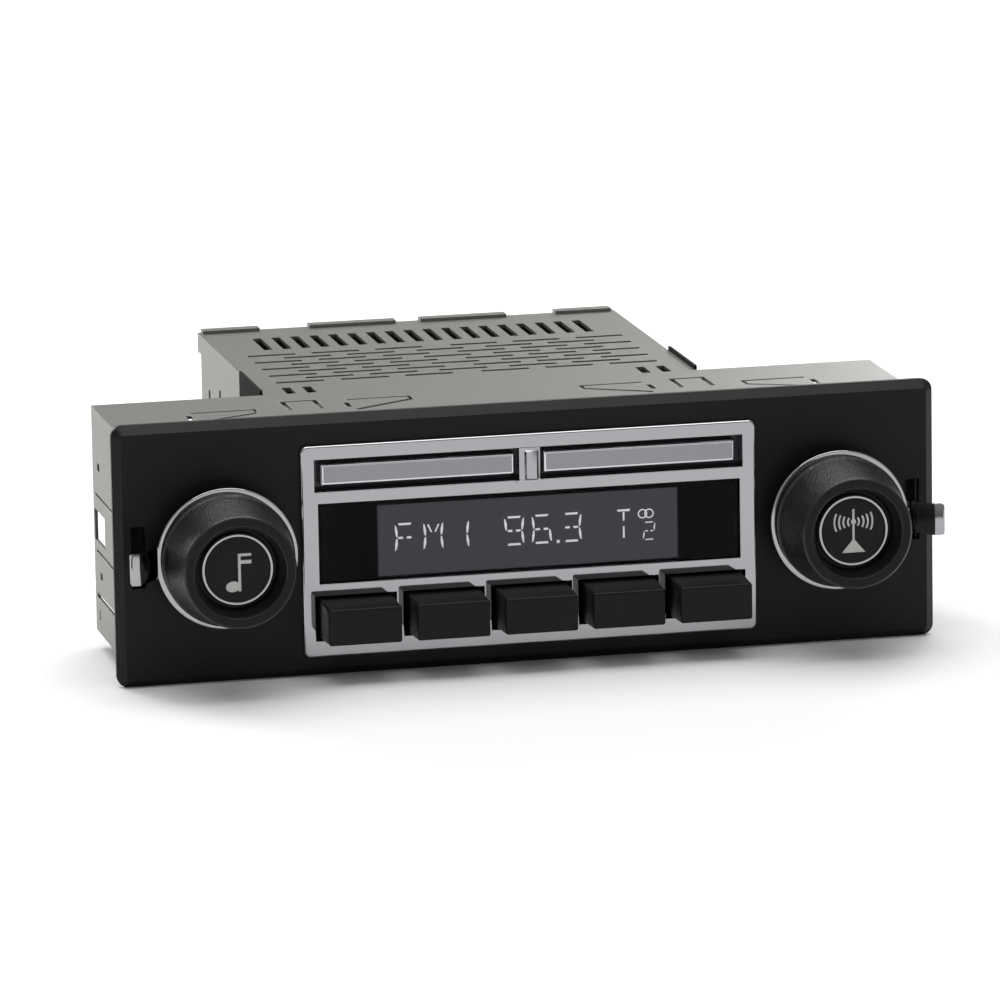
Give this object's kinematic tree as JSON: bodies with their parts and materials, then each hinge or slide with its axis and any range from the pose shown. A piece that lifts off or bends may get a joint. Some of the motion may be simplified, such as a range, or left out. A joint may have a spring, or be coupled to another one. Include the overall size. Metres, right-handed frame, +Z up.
{
  "type": "car radio",
  "caption": "Car radio with a black bezel, a chrome display plate, rotary knobs over levers, push buttons, a folded mounting sleeve and a vented steel chassis.",
  "frame": {"origin": "middle of the radio's footprint, on the surface it stands on", "axes": "+X to the right along the bezel as the listener sees it, +Y from the front to the rear, +Z up"},
  "size_m": [0.188, 0.164, 0.0592],
  "materials": {
    "bezel_black": "fine-grained matte black paint",
    "zinc_steel": "zinc-plated sheet, dull",
    "chrome_plate": "mirror-polished chrome",
    "satin_bar": "satin aluminium with bright edges",
    "clear_window": "clear polished plastic",
    "lcd_glass": "dark grey liquid-crystal glass",
    "white_plastic": "white moulded plastic",
    "board_green": "green circuit board",
    "black_steel": "blackened spring steel",
    "matte_black": "matte black plastic",
    "button_black": "smooth satin black plastic",
    "knob_black": "fine-textured black plastic",
    "gloss_black": "gloss black plastic",
    "black_aluminium": "black anodised aluminium",
    "plain_steel": "bright steel",
    "tinned_steel": "tinned steel sheet",
    "nickel_plate": "nickel plate",
    "can_aluminium": "sleeved aluminium can",
    "copper_wire": "enamelled copper winding",
    "brass_part": "turned brass",
    "gold_plate": "gold-plated brass",
    "connector_brown": "dark brown moulded plastic",
    "fuse_amber": "translucent red plastic",
    "ribbon_grey": "grey flat cable"
  },
  "bodies": {
    "radio": {"bezel": "bezel_black", "din_sleeve": "zinc_steel", "front_bracket": "zinc_steel", "nosepiece": "chrome_plate", "left_trim_bar": "satin_bar", "right_trim_bar": "satin_bar", "trim_divider": "chrome_plate", "display_window": "clear_window", "lcd_panel": "lcd_glass", "lcd_frame": "matte_black", "backlight": "white_plastic", "front_board": "board_green", "button_guide": "white_plastic", "tact_switches": "matte_black", "chassis_tray": "zinc_steel", "rear_panel": "zinc_steel", "top_cover": "zinc_steel", "heat_sink": "black_aluminium", "main_board": "board_green", "board_standoffs": "plain_steel", "board_screws": "plain_steel", "tuner_module": "tinned_steel", "amplifier_chip": "gloss_black", "capacitors": "can_aluminium", "choke_coil": "copper_wire", "aerial_socket": "nickel_plate", "wiring_connector": "connector_brown", "line_sockets": "gold_plate", "fuse": "fuse_amber", "support_stud": "plain_steel", "stud_nut": "plain_steel", "side_springs": "black_steel", "shaft_bushings": "brass_part", "shaft_nuts": "nickel_plate", "shaft_washers": "plain_steel", "rotary_controls": "tinned_steel", "bracket_screws": "plain_steel", "ribbon_cables": "ribbon_grey", "button_spring_1": "plain_steel", "button_spring_2": "plain_steel", "button_spring_3": "plain_steel", "button_spring_4": "plain_steel", "button_spring_5": "plain_steel"},
    "volume_knob": {"left_knob": "knob_black", "left_knob_cap": "gloss_black", "left_knob_ring": "chrome_plate", "left_shaft": "plain_steel"},
    "tuning_knob": {"right_knob": "knob_black", "right_knob_cap": "gloss_black", "right_knob_ring": "chrome_plate", "right_shaft": "plain_steel"},
    "tone_lever": {"left_lever_ring": "chrome_plate", "left_lever_tube": "brass_part"},
    "balance_lever": {"right_lever_ring": "chrome_plate", "right_lever_tube": "brass_part"},
    "push_button_1": {"button_1": "button_black"},
    "push_button_2": {"button_2": "button_black"},
    "push_button_3": {"button_3": "button_black"},
    "push_button_4": {"button_4": "button_black"},
    "push_button_5": {"button_5": "button_black"}
  },
  "joints": [
    {"name": "volume_knob_turn", "type": "hinge", "parent": "radio", "child": "volume_knob", "pos_m": [-0.07, -0.082, 0.0296], "axis": [0, 1, 0], "continuous": true},
    {"name": "tuning_knob_turn", "type": "hinge", "parent": "radio", "child": "tuning_knob", "pos_m": [0.07, -0.082, 0.0296], "axis": [0, 1, 0], "continuous": true},
    {"name": "tone_lever_turn", "type": "hinge", "parent": "radio", "child": "tone_lever", "pos_m": [-0.07, -0.0668, 0.0296], "axis": [0, 1, 0], "range_deg": [-60, 60]},
    {"name": "balance_lever_turn", "type": "hinge", "parent": "radio", "child": "balance_lever", "pos_m": [0.07, -0.0668, 0.0296], "axis": [0, 1, 0], "range_deg": [-60, 60]},
    {"name": "push_button_1_press", "type": "slide", "parent": "radio", "child": "push_button_1", "axis": [0, 1, 0], "range_m": [0, 0.0015], "stiffness_N_per_m": 400, "springref_m": -0.001, "deforming": ["button_spring_1"]},
    {"name": "push_button_2_press", "type": "slide", "parent": "radio", "child": "push_button_2", "axis": [0, 1, 0], "range_m": [0, 0.0015], "stiffness_N_per_m": 400, "springref_m": -0.001, "deforming": ["button_spring_2"]},
    {"name": "push_button_3_press", "type": "slide", "parent": "radio", "child": "push_button_3", "axis": [0, 1, 0], "range_m": [0, 0.0015], "stiffness_N_per_m": 400, "springref_m": -0.001, "deforming": ["button_spring_3"]},
    {"name": "push_button_4_press", "type": "slide", "parent": "radio", "child": "push_button_4", "axis": [0, 1, 0], "range_m": [0, 0.0015], "stiffness_N_per_m": 400, "springref_m": -0.001, "deforming": ["button_spring_4"]},
    {"name": "push_button_5_press", "type": "slide", "parent": "radio", "child": "push_button_5", "axis": [0, 1, 0], "range_m": [0, 0.0015], "stiffness_N_per_m": 400, "springref_m": -0.001, "deforming": ["button_spring_5"]}
  ]
}
